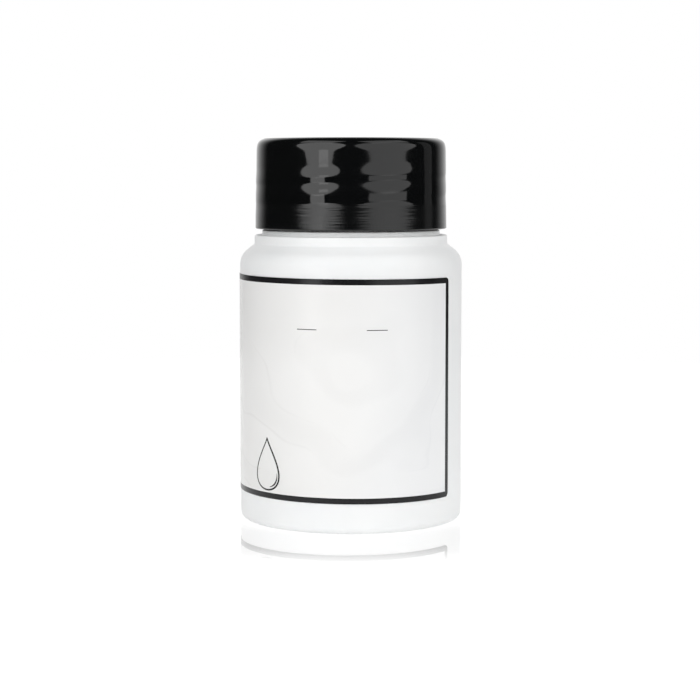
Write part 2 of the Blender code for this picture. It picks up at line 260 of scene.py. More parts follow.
# Floor, in metres. A fade is the pair of radii over which something comes or goes.
FLOOR_RADIUS = 0.38
FLOOR_HEIGHT = -0.0001
FLOOR_OPENING = 0.0205  # hidden by the jar's standing ring
FLOOR_WHITE = 1.07  # brightness to the eye, a little over pure white
FLOOR_GLOW = 0.06  # what the white floor sends up on the jar
FLOOR_GLOW_FADE = (0.03, 0.10)
FOOT_GLOW = 0.025  # more of it, close to the foot
FOOT_GLOW_FADE = (0.0246, 0.0256)
SHADOW_SHARE = 0.10  # of the jar's true shadow that the eye sees
SHADOW_FADE = (0.032, 0.080)
COAT_HEIGHT = 0.00112  # puts the mirror image as high as in the photo
COAT_FADE_IN = (0.0265, 0.034)
MIRROR_SHARE = 0.41  # of the floor's coat close to the jar
MIRROR_FADE = (0.0455, 0.0645)

# World and lamps. Directions are parts of a unit vector, and places are in metres.
ROOM_GLOW = 0.02
BACKDROP_GLOW = 1.0
BACKDROP_EDGE = (0.52, 0.97)  # how far to the back a direction points, where the backdrop sets in
BACKDROP_FOOT = (-0.10, 0.06)  # how far up it points, where the backdrop gets its full brightness
BACKDROP_FOOT_SHARE = 0.72
LAMP_AIM = Vector((0, 0, 0.045))

# Camera, fitted to the photo, in metres
CAMERA_PLACE = (-0.0002, -0.441, 0.0767)
CAMERA_TILT = math.radians(84.88)  # from straight down
CAMERA_NEAR = 0.01
LENS = 102.4
SENSOR_WIDTH = 36

# Facets. Rows are in millimetres.
SEGMENTS = 192
LINER_SEGMENTS = 128
FOAM_SEGMENTS = 160
FLOOR_SEGMENTS = 96
ARC_STEP = math.radians(9)
THREAD_ROW = 0.13
SKIRT_ROW = 0.25
FOAM_ROW = 1.0
WALL_ROW = 2.5
FILM_CORNER_STEPS = 6
FILM_COLUMNS = 150
FILM_ROWS = 8
SORTING_DIRECTION = Vector((1, 3, 11))  # along which no two faces of the film lie at the same place
RULE_STEPS = 10
DROP_STEPS = 96
CRESCENT_STEPS = 24


def corner_arc(before, corner, after, rounding):
    """Points of the arc of radius rounding that replaces a corner of an outline."""
    to_before = (before - corner).normalized()
    to_after = (after - corner).normalized()
    half_angle = to_before.angle(to_after) / 2
    centre = corner + (to_before + to_after).normalized() * rounding / math.sin(half_angle)
    reach = rounding / math.tan(half_angle)
    start = corner + to_before * reach - centre
    end = corner + to_after * reach - centre
    turn = math.pi - 2 * half_angle
    steps = max(3, math.ceil(turn / ARC_STEP))
    points = []
    for step in range(steps + 1):
        angle = turn * step / steps
        spoke = (start * math.sin(turn - angle) + end * math.sin(angle)) / math.sin(turn)
        points.append(centre + spoke)
    return points


def rounded(corners):
    """Turns corners of (radius, height, rounding) into the points of a profile."""
    places = [Vector((radius, height)) for radius, height, rounding in corners]
    points = []
    for index, (place, corner) in enumerate(zip(places, corners)):
        rounding = corner[2]
        if rounding:
            points += corner_arc(places[index - 1], place, places[index + 1], rounding)
        else:
            points.append(place)
    return points


def with_rows(points, row_length=lambda point: WALL_ROW):
    """Adds points to the long stretches of a profile. row_length gives the longest step from a point."""
    rows = [points[0]]
    for here, after in zip(points, points[1:]):
        place = here
        while (after - place).length > 1.5 * row_length(place):
            place = place + (after - place).normalized() * row_length(place)
            rows.append(place)
        rows.append(after)
    return rows


def in_scene(name, data):
    made = bpy.data.objects.new(name, data)
    bpy.context.scene.collection.objects.link(made)
    return made


def add_mesh(name, bm, materials):
    """Turns a bmesh into an object, and frees it."""
    mesh = bpy.data.meshes.new(name)
    bm.to_mesh(mesh)
    bm.free()
    for material in materials:
        mesh.materials.append(material)
    return in_scene(name, mesh)


def smooth(made, sharp_degrees=35):
    made.data.shade_smooth()
    made.data.set_sharp_from_angle(angle=math.radians(sharp_degrees))
    return made


def turned(name, points, materials, relief=None, segments=SEGMENTS):
    """A closed solid of revolution from a profile that starts and ends on the axis.

    relief(radius, height, angle) gives the radius and height that a point of the profile has at an angle.
    """
    bm = bmesh.new()
    rings = []
    for point in points:
        if point.x < 1e-6:
            rings.append([bm.verts.new((0, 0, point.y * MM))])
            continue
        ring = []
        for index in range(segments):
            angle = 2 * math.pi * index / segments
            radius, height = relief(point.x, point.y, angle) if relief else point
            place = (radius * math.cos(angle) * MM, radius * math.sin(angle) * MM, height * MM)
            ring.append(bm.verts.new(place))
        rings.append(ring)
    for ring, following in zip(rings, rings[1:]):
        for index in range(segments):
            after = (index + 1) % segments
            corners = [ring[index % len(ring)], ring[after % len(ring)]]
            corners += [following[after % len(following)], following[index % len(following)]]
            bm.faces.new(tuple(dict.fromkeys(corners)))
    bmesh.ops.recalc_face_normals(bm, faces=bm.faces)
    return smooth(add_mesh(name, bm, materials))


def smooth_min(first, second, blend):
    """The smaller of two values, rounded off where they are less than blend apart."""
    share = max(blend - abs(first - second), 0) / blend
    return min(first, second) - share * share * blend / 4


def passes(angle, start_angle, turns):
    """Each way along a thread that ends at an angle, as the turn so far and the turn left, in radians."""
    turned_by = (angle - start_angle) % (2 * math.pi)
    while turned_by < turns * 2 * math.pi:
        yield turned_by, turns * 2 * math.pi - turned_by
        turned_by += 2 * math.pi


def ease(share):
    """A smooth way from 0 to 1."""
    share = min(1, max(0, share))
    return share * share * (3 - 2 * share)


def bell(value, middle, width):
    """1 in the middle, falling smoothly to 0 on both sides."""
    return math.exp(-(((value - middle) / width) ** 2))


def steps_between(first, last, count):
    """The places that part a stretch into count equal steps, without its two ends."""
    return [first + (last - first) * step / count for step in range(1, count)]


def thread_rise(angle, height, bottom, start_angle, turns, outward):
    """How far a thread stands out of its wall at an angle and a height."""
    rise = 0
    for turned_by, left in passes(angle, start_angle, turns):
        into = outward * (height - bottom - THREAD_PITCH * turned_by / (2 * math.pi))
        if not 0 < into < THREAD_ROOT_WIDTH:
            continue
        on_load = into / math.tan(LOAD_FLANK)
        on_lead = (THREAD_ROOT_WIDTH - into) / math.tan(LEAD_FLANK)
        flank = smooth_min(min(on_load, 3 * THREAD_DEPTH), on_lead, THREAD_CREST_ROUNDING)
        full = max(0, smooth_min(flank, THREAD_DEPTH, THREAD_CREST_ROUNDING))
        rise = full * ease(min(turned_by, left) / THREAD_FADE)
    return rise


def unevenness(radius, angle, height, scale):
    """Slow, seeded waviness of a moulded wall, from about -1 to 1."""
    place = Vector((radius * math.cos(angle), radius * math.sin(angle), height)) * scale
    return noise.noise(place)


def near(value, target):
    return abs(value - target) < 1e-4


def within(value, zone):
    return zone[0] < value < zone[1]


# Materials


class Nodes:
    """Short ways to add nodes to one tree."""

    def __init__(self, tree):
        self.tree = tree

    def add(self, kind, **settings):
        node = self.tree.nodes.new(kind)
        for key, value in settings.items():
            setattr(node, key, value)
        return node

    def link(self, source, target):
        self.tree.links.new(source, target)

    def put(self, target, value):
        """Feeds a socket from another socket, or sets its value."""
        if isinstance(value, bpy.types.NodeSocket):
            self.link(value, target)
        else:
            target.default_value = value

    def fill(self, node, values):
        """Puts a value in each named socket of a node."""
        for name, value in values.items():
            self.put(node.inputs[name], value)

    def coordinates(self):
        return self.add("ShaderNodeTexCoord").outputs["Object"]

    def place(self, scale=(1000, 1000, 1000)):
        """Object coordinates, in millimetres unless a scale is given."""
        mapping = self.add("ShaderNodeMapping")
        self.fill(mapping, {"Vector": self.coordinates(), "Scale": scale})
        return mapping.outputs["Vector"]

    def length(self, vector):
        node = self.add("ShaderNodeVectorMath", operation="LENGTH")
        self.link(vector, node.inputs[0])
        return node.outputs["Value"]

    def radius(self):
        """Distance from the object's own origin, in metres."""
        return self.length(self.coordinates())

    def split(self, vector):
        axes = self.add("ShaderNodeSeparateXYZ")
        self.link(vector, axes.inputs["Vector"])
        return axes

    def height(self, place):
        return self.split(place).outputs["Z"]

    def across(self, place):
        return self.split(place).outputs["X"]

    def noise(self, place, scale, detail=2.0, roughness=0.5, distortion=0.0, output="Fac"):
        texture = self.add("ShaderNodeTexNoise")
        self.fill(texture, {"Vector": place, "Scale": scale, "Detail": detail})
        self.fill(texture, {"Roughness": roughness, "Distortion": distortion})
        return texture.outputs[output]

    def math(self, operation, first, second=0.0, third=0.0):
        node = self.add("ShaderNodeMath", operation=operation)
        self.put(node.inputs[0], first)
        self.put(node.inputs[1], second)
        self.put(node.inputs[2], third)
        return node.outputs[0]

    def spread(self, value, low, high, to_low=0.0, to_high=1.0):
        """Maps a value from one range to another, with smooth ends."""
        node = self.add("ShaderNodeMapRange", interpolation_type="SMOOTHSTEP")
        self.fill(node, {"Value": value, "From Min": low, "From Max": high})
        self.fill(node, {"To Min": to_low, "To Max": to_high})
        return node.outputs["Result"]

    def mix(self, share, first, second):
        node = self.add("ShaderNodeMix", data_type="RGBA")
        self.put(node.inputs["Factor"], share)
        for socket, colour in ((node.inputs[6], first), (node.inputs[7], second)):
            if isinstance(colour, bpy.types.NodeSocket):
                self.link(colour, socket)
            else:
                socket.default_value = (*colour, 1.0)
        return node.outputs[2]

    def mix_shaders(self, share, first, second):
        node = self.add("ShaderNodeMixShader")
        self.link(share, node.inputs["Fac"])
        self.link(first, node.inputs[1])
        self.link(second, node.inputs[2])
        return node.outputs["Shader"]

    def bump(self, height, strength, distance, before=None):
        node = self.add("ShaderNodeBump")
        self.fill(node, {"Height": height, "Strength": strength, "Distance": distance})
        if before:
            self.link(before, node.inputs["Normal"])
        return node.outputs["Normal"]


class MaterialNodes(Nodes):
    """The nodes of a new material, with its main shader."""

    def __init__(self, name):
        self.material = bpy.data.materials.new(name)
        self.material.use_nodes = True
        super().__init__(self.material.node_tree)
        self.shader = self.tree.nodes["Principled BSDF"]
        self.output = self.tree.nodes["Material Output"]

    def dress(self, values):
        """Sets the main shader's sockets."""
        self.fill(self.shader, values)

    def show(self, surface):
        """Puts another surface in the main shader's place."""
        self.link(surface, self.output.inputs["Surface"])


def moulded_white():
    """Satin white moulding: a faint mould grain, slow waviness and slightly uneven sheen."""
    nodes = MaterialNodes("moulded_white")
    place = nodes.place()
    cloud = nodes.spread(nodes.noise(place, 0.09, detail=3), 0.35, 0.65)
    grain = nodes.bump(nodes.noise(place, 5.0, detail=3), 0.06, 0.00005)
    nodes.dress({
        "Base Color": nodes.mix(cloud, *POT_WHITES),
        "Roughness": nodes.spread(nodes.noise(place, 0.35, detail=4), 0.3, 0.7, *POT_ROUGHNESS),
        "Subsurface Weight": 0.12,
        "Subsurface Radius": (1.0, 0.95, 0.9),
        "Subsurface Scale": 0.0012,
        "Normal": nodes.bump(nodes.noise(place, 0.12, detail=1), 0.12, 0.0002, grain),
    })
    return nodes.material


def gloss_black():
    """Polished black moulding: faint smears, and fine grooves round the skirt's foot that face slightly up.

    The flat top has the softer finish of an etched mould.
    """
    nodes = MaterialNodes("gloss_black")
    place = nodes.place()
    height = nodes.height(place)
    low = nodes.spread(height, *GROOVE_FADE, 1.0, 0.0)
    top = nodes.spread(height, *TOP_SATIN_EDGE)
    smear = nodes.noise(place, 0.16, detail=5, roughness=0.6, distortion=0.8)
    sheen = nodes.spread(smear, 0.38, 0.72, *CAP_ROUGHNESS)
    sheen = nodes.math("MULTIPLY_ADD", low, GROOVE_SATIN, sheen)
    sheen = nodes.math("MULTIPLY_ADD", top, TOP_SATIN, sheen)
    ripple = nodes.bump(nodes.noise(place, 0.35, detail=2), 0.05, 0.0001)
    rings = nodes.noise(nodes.place((90, 90, 3400)), 1.0, detail=2)
    marks = nodes.bump(nodes.math("MULTIPLY", rings, low), 1.0, 0.000032, ripple)
    below = nodes.math("MAXIMUM", nodes.math("SUBTRACT", GROOVE_LEAN_TOP, height), 0.0)
    eased = nodes.math("MINIMUM", below, GROOVE_EASE)
    curve = nodes.math("MULTIPLY", nodes.math("MULTIPLY", eased, eased), 0.5 / GROOVE_EASE)
    lean = nodes.math("ADD", curve, nodes.math("SUBTRACT", below, eased))
    marks = nodes.bump(lean, 1.0, GROOVE_LEAN * MM, marks)
    etched = nodes.math("MULTIPLY", nodes.noise(place, 4.0, detail=3), top)
    nodes.dress({
        "Base Color": CAP_BLACK,
        "Roughness": sheen,
        "IOR": 1.49,
        "Normal": nodes.bump(etched, 1.0, 0.00001, marks),
    })
    return nodes.material


def marble_share(nodes, bent):
    """How much of the darker marble shows: wide clouds, faint curved bands and a few blurred veins."""
    cloud = nodes.spread(nodes.noise(bent, CLOUD_SCALE, detail=0), 0.36, 0.66, 0.0, CLOUD_SHARE)
    around = nodes.add("ShaderNodeVectorMath", operation="SUBTRACT")
    nodes.put(around.inputs[0], bent)
    nodes.put(around.inputs[1], SWIRL_MIDDLE)
    swirl = nodes.add("ShaderNodeTexWave", wave_type="RINGS", rings_direction="SPHERICAL")
    nodes.fill(swirl, {"Vector": around.outputs[0], "Scale": BAND_SCALE, "Distortion": BAND_WOBBLE})
    nodes.fill(swirl, {"Detail": 1.0, "Detail Scale": 2.6})
    wave = swirl.outputs["Fac"]
    band = nodes.spread(wave, 0.45, 1.0, 0.0, BAND_SHARE)
    ridge = nodes.math("ABSOLUTE", nodes.math("SUBTRACT", wave, VEIN_LEVEL))
    patches = nodes.spread(nodes.noise(bent, VEIN_PATCH_SCALE, detail=1), 0.42, 0.58, 0.0, VEIN_SHARE)
    outer = nodes.spread(nodes.length(around.outputs[0]), *VEIN_START)
    patches = nodes.math("MULTIPLY", patches, outer)
    vein = nodes.math("MULTIPLY", nodes.spread(ridge, 0.0, VEIN_WIDTH, 1.0, 0.0), patches)
    return nodes.math("MAXIMUM", nodes.math("ADD", cloud, band), vein)


def marble_film():
    """Printed film: soft marble under a varnish, darker at its low left and brighter at its low right."""
    nodes = MaterialNodes("marble_film")
    place = nodes.place()
    bend = nodes.add("ShaderNodeVectorMath", operation="MULTIPLY_ADD")
    nodes.put(bend.inputs[0], nodes.noise(place, WARP_SCALE, detail=0.0, output="Color"))
    nodes.put(bend.inputs[1], WARP_REACH)
    nodes.put(bend.inputs[2], place)
    bent = bend.outputs[0]
    low = nodes.spread(nodes.height(place), *LOW_END, 1.0, 0.0)
    low_left = nodes.math("MULTIPLY", low, nodes.spread(nodes.across(place), *LOW_LEFT, 1.0, 0.0))
    low_right = nodes.math("MULTIPLY", low, nodes.spread(nodes.across(place), *LOW_RIGHT))
    share = nodes.math("MULTIPLY_ADD", low_left, LOW_LEFT_SHARE, marble_share(nodes, bent))
    tone = nodes.spread(nodes.across(bent), *TONE_REACH)
    ground = nodes.mix(low_right, nodes.mix(tone, *FILM_GROUNDS), FILM_BRIGHT)
    nodes.dress({
        "Base Color": nodes.mix(share, ground, nodes.mix(tone, *FILM_MARBLES)),
        "Roughness": nodes.spread(nodes.noise(place, 0.15, detail=2), 0.3, 0.7, *FILM_ROUGHNESS),
        "Specular IOR Level": FILM_SPECULAR,
        "Normal": nodes.bump(nodes.noise(place, 0.2, detail=1), 0.03, 0.0001),
    })
    return nodes.material


def black_ink():
    """The film's printed border and line work: dense ink with a slightly uneven lay-down."""
    nodes = MaterialNodes("black_ink")
    place = nodes.place()
    density = nodes.spread(nodes.noise(place, 2.0, detail=3), 0.35, 0.65)
    nodes.dress({
        "Base Color": nodes.mix(density, *INK_BLACKS),
        "Roughness": nodes.spread(nodes.noise(place, 0.5, detail=4), 0.3, 0.7, *INK_ROUGHNESS),
        "Specular IOR Level": FILM_SPECULAR,
    })
    return nodes.material


def open_foam():
    """Open-cell foam: soft, slightly mottled grey, with painted shade darkening its small pores, which the
    bump also sinks in.
    """
    nodes = MaterialNodes("open_foam")
    place = nodes.place()
    cells = nodes.add("ShaderNodeTexVoronoi", feature="F1")
    nodes.fill(cells, {"Vector": place, "Scale": 2.2})
    # this mask darkens the pores' colour towards a painted shade, and is also their bump height
    pore_depth_and_shade = nodes.spread(cells.outputs["Distance"], 0.12, 0.42)
    mottle = nodes.spread(nodes.noise(place, 0.35, detail=4), 0.3, 0.7)
    nodes.dress({
        "Base Color": nodes.mix(pore_depth_and_shade, PAINTED_PORE_SHADE, nodes.mix(mottle, *FOAM_GREYS)),
        "Roughness": 0.95,
        "Sheen Weight": 0.15,
        "Normal": nodes.bump(pore_depth_and_shade, 0.8, 0.0003),
    })
    return nodes.material


def foamed_wad():
    """The liner: matt white foamed sheet with a fine closed-cell skin."""
    nodes = MaterialNodes("foamed_wad")
    place = nodes.place()
    mottle = nodes.spread(nodes.noise(place, 0.8, detail=4), 0.3, 0.7)
    nodes.dress({
        "Base Color": nodes.mix(mottle, *WAD_WHITES),
        "Roughness": 0.7,
        "Normal": nodes.bump(nodes.noise(place, 6.0, detail=2), 0.25, 0.00008),
    })
    return nodes.material


# Pieces


def shoulder_line(radius):
    return SHOULDER_HEIGHT - (radius - RING_RADIUS) * math.tan(SHOULDER_SLOPE)


def inner_shoulder_line(radius):
    return shoulder_line(radius) - BODY_WALL / math.cos(SHOULDER_SLOPE)


def make_pot(material):
    inner_radius = BODY_RADIUS - BODY_WALL
    bore_radius = NECK_RADIUS - NECK_WALL
    push_up_radius = BODY_RADIUS - BASE_ROUNDING - FOOT_WIDTH
    corners = [
        (0, FLOOR_TOP, 0),
        (inner_radius, FLOOR_TOP, FLOOR_ROUNDING),
        (inner_radius, inner_shoulder_line(inner_radius), SHOULDER_ROUNDING - BODY_WALL),
        (bore_radius, inner_shoulder_line(bore_radius), BORE_ROUNDING),
        (bore_radius, RIM_TOP, RIM_ROUNDING),
        (NECK_RADIUS, RIM_TOP, RIM_ROUNDING),
        (NECK_RADIUS, BEAD_TOP, NECK_FOOT_ROUNDING),
        (BEAD_RADIUS, BEAD_TOP, BEAD_ROUNDING),
        (BEAD_RADIUS, RING_TOP, BEAD_FOOT_ROUNDING),
        (RING_RADIUS - RING_DRAFT, RING_TOP, RING_ROUNDING),
        (RING_RADIUS, SHOULDER_HEIGHT, RING_FOOT_ROUNDING),
        (BODY_RADIUS, shoulder_line(BODY_RADIUS), SHOULDER_ROUNDING),
        (BODY_RADIUS, 0, BASE_EDGE_ROUNDING),
        (push_up_radius, 0, FOOT_ROUNDING),
        (push_up_radius - PUSH_UP_HEIGHT, PUSH_UP_HEIGHT, PUSH_UP_ROUNDING),
        (GATE_RADIUS, PUSH_UP_HEIGHT, GATE_ROUNDINGS[0]),
        (GATE_RADIUS - GATE_SLOPE, PUSH_UP_HEIGHT - GATE_HEIGHT, GATE_ROUNDINGS[1]),
        (0, PUSH_UP_HEIGHT - GATE_HEIGHT, 0),
    ]

    def relief(radius, height, angle):
        if near(radius, NECK_RADIUS):
            radius += thread_rise(
                angle, height, NECK_THREAD_BOTTOM, NECK_THREAD_START, NECK_THREAD_TURNS, outward=1
            )
        return radius, height

    def row_length(point):
        on_thread = near(point.x, NECK_RADIUS) and within(point.y, NECK_THREAD_ZONE)
        return THREAD_ROW if on_thread else WALL_ROW

    points = with_rows(rounded(corners), row_length)
    pot = turned("pot_moulding", points, [material], relief)
    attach(pot, "pot")
    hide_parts("pot")


def make_cap(material):
    keeper_radius = CAP_BORE_RADIUS - KEEPER_REACH
    corners = [
        (0, CAP_CEILING, 0),
        (CAP_BORE_RADIUS, CAP_CEILING, CAP_INNER_ROUNDING),
        (CAP_BORE_RADIUS, KEEPER_TOP, 0),
        (keeper_radius, (KEEPER_TOP + KEEPER_BOTTOM) / 2, KEEPER_ROUNDING),
        (CAP_BORE_RADIUS, KEEPER_BOTTOM, 0),
        (CAP_BORE_RADIUS, SKIRT_BOTTOM, CAP_SKIRT_ROUNDING),
        (CAP_SKIRT_RADIUS - SKIRT_INSET, SKIRT_BOTTOM, CAP_SKIRT_ROUNDING),
        (CAP_TOP_RADIUS + TOP_SWELL, CAP_TOP, CAP_TOP_ROUNDING),
        (CAP_GATE_RADIUS + CAP_GATE_DEPTH, CAP_TOP, CAP_GATE_ROUNDING),
        (CAP_GATE_RADIUS, CAP_TOP - CAP_GATE_DEPTH, CAP_GATE_ROUNDING),
        (0, CAP_TOP - CAP_GATE_DEPTH, 0),
    ]

    def sinks(height, angle):
        """Depth of the dents that thick places in the wall leave outside as the moulding cools.

        Above the last turn of the thread the wall stays drawn in.
        """
        depth = CORNER_SINK_DEPTH * bell(height, CAP_TOP - CORNER_SINK_DROP, CORNER_SINK_WIDTH)
        depth += FLARE_DEPTH * ease((height - SKIRT_BOTTOM) / FLARE_HEIGHT)
        depth += CROWN_DEPTH * max(0, height - CAP_TOP + CROWN_HEIGHT) / CROWN_HEIGHT
        for turned_by, left in passes(angle, CAP_THREAD_START, CAP_THREAD_TURNS + SINK_RUN_ON):
            last = ease((2 * math.pi - left) / SINK_FADE)
            centre = CAP_THREAD_BOTTOM - THREAD_ROOT_WIDTH / 2 + THREAD_PITCH * turned_by / (2 * math.pi)
            centre += SINK_RISE * (1 - last)
            width = SINK_WIDTH_BELOW + (LAST_SINK_WIDTH - SINK_WIDTH_BELOW) * last
            if height > centre:
                width = SINK_WIDTH_ABOVE
            shape = bell(height, centre, width)
            if height > centre:
                shape += (1 - shape) * last
            full = SINK_DEPTH + (LAST_SINK_DEPTH - SINK_DEPTH) * last
            depth += full * ease(min(turned_by, left) / SINK_FADE) * shape
        return depth

    def relief(radius, height, angle):
        if near(radius, CAP_BORE_RADIUS):
            radius -= thread_rise(
                angle, height, CAP_THREAD_BOTTOM, CAP_THREAD_START, CAP_THREAD_TURNS, outward=-1
            )
        elif radius > CAP_INSIDE:
            waviness = UNEVENNESS * (1 + unevenness(radius, angle, height, UNEVENNESS_SCALE))
            radius -= sinks(height, angle) + waviness
        return radius, height

    def row_length(point):
        if near(point.x, CAP_BORE_RADIUS) and within(point.y, CAP_THREAD_ZONE):
            return THREAD_ROW
        if point.x > CAP_OUTSIDE:
            return SKIRT_ROW
        return WALL_ROW

    points = with_rows(rounded(corners), row_length)
    cap = turned("cap_shell", points, [material], relief)
    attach(cap, "cap")
    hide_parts("cap")


def make_liner(material):
    """The wad, with the ring that the jar's rim has pressed into its underside."""
    bore_radius = NECK_RADIUS - NECK_WALL
    pressed = LINER_BOTTOM + PRESS_DEPTH
    corners = [
        (0, LINER_BOTTOM, 0),
        (bore_radius - PRESS_REACH, LINER_BOTTOM, PRESS_ROUNDING),
        (bore_radius + PRESS_INSET, pressed, PRESS_ROUNDING),
        (NECK_RADIUS - PRESS_INSET, pressed, PRESS_ROUNDING),
        (NECK_RADIUS + PRESS_REACH, LINER_BOTTOM, PRESS_ROUNDING),
        (LINER_RADIUS, LINER_BOTTOM, LINER_ROUNDING),
        (LINER_RADIUS, LINER_TOP, LINER_ROUNDING),
        (0, LINER_TOP, 0),
    ]
    points = with_rows(rounded(corners))
    liner = turned("liner_wad", points, [material], segments=LINER_SEGMENTS)
    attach(liner, "liner")
    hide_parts("cap_liner")


def make_sponge(material):
    hole_floor = SPONGE_BOTTOM + HOLE_FLOOR
    corners = [
        (0, SPONGE_BOTTOM, 0),
        (SPONGE_RADIUS, SPONGE_BOTTOM, FLOOR_ROUNDING - SEAT_GAP),
        (SPONGE_RADIUS, SPONGE_TOP, SPONGE_TOP_ROUNDING),
        (HOLE_RADIUS, SPONGE_TOP, HOLE_MOUTH_ROUNDING),
        (HOLE_RADIUS, hole_floor, HOLE_FLOOR_ROUNDING),
        (0, hole_floor, 0),
    ]

    def torn(radius, angle, height):
        fine = FINE_TEAR_SHARE * unevenness(radius, angle, height, FINE_TEAR)
        return unevenness(radius, angle, height, COARSE_TEAR) + fine

    def relief(radius, height, angle):
        """The torn, slightly uneven face of cut foam."""
        out = torn(radius, angle, height)
        up = torn(radius, angle, height + UNLIKE_PLACE)
        return radius + FOAM_UNEVENNESS * out, height + FOAM_UNEVENNESS * up

    points = with_rows(rounded(corners), lambda point: FOAM_ROW)
    sponge = turned("foam_insert", points, [material], relief, segments=FOAM_SEGMENTS)
    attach(sponge, "pot")
    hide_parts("sponge")


FILM_RADIUS = BODY_RADIUS + FILM_STANDOFF + FILM_THICKNESS


def on_film(along, height, lift=0.0):
    """A point on the film's face: along is the arc length from its right end, towards the left."""
    angle = FILM_RIGHT_END - along / FILM_RADIUS
    slanted = height - angle * FILM_RADIUS * math.tan(FILM_SLANT)
    radius = FILM_RADIUS + lift
    return Vector((radius * math.sin(angle), -radius * math.cos(angle), slanted))


def film_columns(length):
    """Arc lengths of the film's columns of points, which lie closer at its rounded ends."""
    end = [
        FILM_CORNER_ROUNDING * (1 - math.cos(math.pi / 2 * step / FILM_CORNER_STEPS))
        for step in range(FILM_CORNER_STEPS + 1)
    ]
    end.append(BORDER_WIDTH)
    middle = steps_between(BORDER_WIDTH, length - BORDER_WIDTH, FILM_COLUMNS)
    return end + middle + [length - along for along in reversed(end)]


def film_rows():
    low = LABEL_BOTTOM + BORDER_WIDTH
    high = LABEL_TOP - BORDER_WIDTH
    return [LABEL_BOTTOM, low] + steps_between(low, high, FILM_ROWS) + [high, LABEL_TOP]


def corner_drop(from_end):
    """How far the film's upper and lower edges draw in, close to one of its ends."""
    short_of_arc = max(0, FILM_CORNER_ROUNDING - from_end)
    return FILM_CORNER_ROUNDING - math.sqrt(FILM_CORNER_ROUNDING**2 - short_of_arc**2)


def make_label(marble, ink):
    """The film, whose border is a strip of its own faces in black ink.

    Solidify adds the faces of the film's edge in an order that changes from run to run, so they are sorted.
    """
    length = FILM_SPAN * FILM_RADIUS
    columns = film_columns(length)
    rows = film_rows()
    bm = bmesh.new()
    grid = []
    for along in columns:
        drop = corner_drop(min(along, length - along))
        points = []
        for height in rows:
            kept = min(max(height, LABEL_BOTTOM + drop), LABEL_TOP - drop)
            points.append(bm.verts.new(on_film(along, kept) * MM))
        grid.append(points)
    for index, (points, following) in enumerate(zip(grid, grid[1:])):
        between = (columns[index] + columns[index + 1]) / 2
        in_end = min(between, length - between) < BORDER_WIDTH
        for row in range(len(rows) - 1):
            face = bm.faces.new((points[row], points[row + 1], following[row + 1], following[row]))
            face.material_index = 1 if in_end or row in (0, len(rows) - 2) else 0
    bmesh.ops.recalc_face_normals(bm, faces=bm.faces)
    if bm.faces[0].normal.dot(bm.faces[0].calc_center_median() * Vector((1, 1, 0))) < 0:
        bmesh.ops.reverse_faces(bm, faces=bm.faces)
    bmesh.ops.solidify(bm, geom=list(bm.faces), thickness=FILM_THICKNESS * MM)
    bm.faces.sort(key=lambda face: face.calc_center_median().dot(SORTING_DIRECTION))
    bmesh.ops.recalc_face_normals(bm, faces=bm.faces)
    label = smooth(add_mesh("label_film", bm, [marble, ink]))
    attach(label, "pot")
    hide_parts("label")


def printed_line(bm, route, widths, closed=False):
    """A raised line on the film. route holds (angle from the front, height), and widths its widths."""
    flat = [Vector((angle * FILM_RADIUS, height)) for angle, height in route]
    sections = []
    for index, here in enumerate(flat):
        before = flat[index - 1] if index or closed else here
        after = flat[(index + 1) % len(flat)] if index + 1 < len(flat) or closed else here
        onward = (after - before).normalized()
        aside = Vector((-onward.y, onward.x)) * widths[index] / 2
        section = []
        for side, lift in ((1, PRINT_LIFT), (-1, PRINT_LIFT), (-1, -PRINT_LIFT), (1, -PRINT_LIFT)):
            corner = here + aside * side
            along = (FILM_RIGHT_END - corner.x / FILM_RADIUS) * FILM_RADIUS
            section.append(bm.verts.new(on_film(along, corner.y, lift) * MM))
        sections.append(section)
    pairs = list(zip(sections, sections[1:]))
    if closed:
        pairs.append((sections[-1], sections[0]))
    for section, following in pairs:
        for index in range(4):
            bm.faces.new((section[index - 1], section[index], following[index], following[index - 1]))
    if not closed:
        bm.faces.new(sections[0])
        bm.faces.new(sections[-1])


def drop_outline(turns, size=1.0):
    """Points of a plain drop shape. turns runs from 0 at its tip, down its right side, to 1 at the tip."""
    widest = math.sin(2 * math.acos(math.sqrt(1 / (2 + DROP_SHARPNESS))))
    widest *= (1 - 1 / (2 + DROP_SHARPNESS)) ** (DROP_SHARPNESS / 2)
    route = []
    for turn in turns:
        angle = 2 * math.pi * turn
        reach = DROP_HALF_WIDTH / widest * math.sin(angle) * math.sin(angle / 2) ** DROP_SHARPNESS
        height = DROP_HALF_HEIGHT * math.cos(angle)
        sunk = DROP_HEIGHT - DROP_HALF_HEIGHT * (1 - size) / 3
        route.append((DROP_MIDDLE + size * reach / FILM_RADIUS, sunk + size * height))
    return route


def make_print(ink):
    """Line work printed on the film: two short rules and a drop with a crescent of shade in it."""
    bm = bmesh.new()
    for start, end in (LEFT_RULE, RIGHT_RULE):
        turns = [start] + steps_between(start, end, RULE_STEPS) + [end]
        printed_line(bm, [(turn, RULE_HEIGHT) for turn in turns], [RULE_WIDTH] * len(turns))
    turns = [step / DROP_STEPS for step in range(DROP_STEPS)]
    widths = [LINE_WIDTH * (1 + DROP_LINE_SWELL * math.sin(2 * math.pi * turn)) for turn in turns]
    printed_line(bm, drop_outline(turns), widths, closed=True)
    shares = [step / CRESCENT_STEPS for step in range(CRESCENT_STEPS + 1)]
    crescent = drop_outline([CRESCENT_START + CRESCENT_LENGTH * share for share in shares], CRESCENT_SIZE)
    widths = [CRESCENT_TIP_WIDTH + CRESCENT_SWELL * math.sin(math.pi * share) for share in shares]
    printed_line(bm, crescent, widths)
    bmesh.ops.recalc_face_normals(bm, faces=bm.faces)
    made = smooth(add_mesh("label_print", bm, [ink]))
    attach(made, "pot")


# Stage, lights and camera


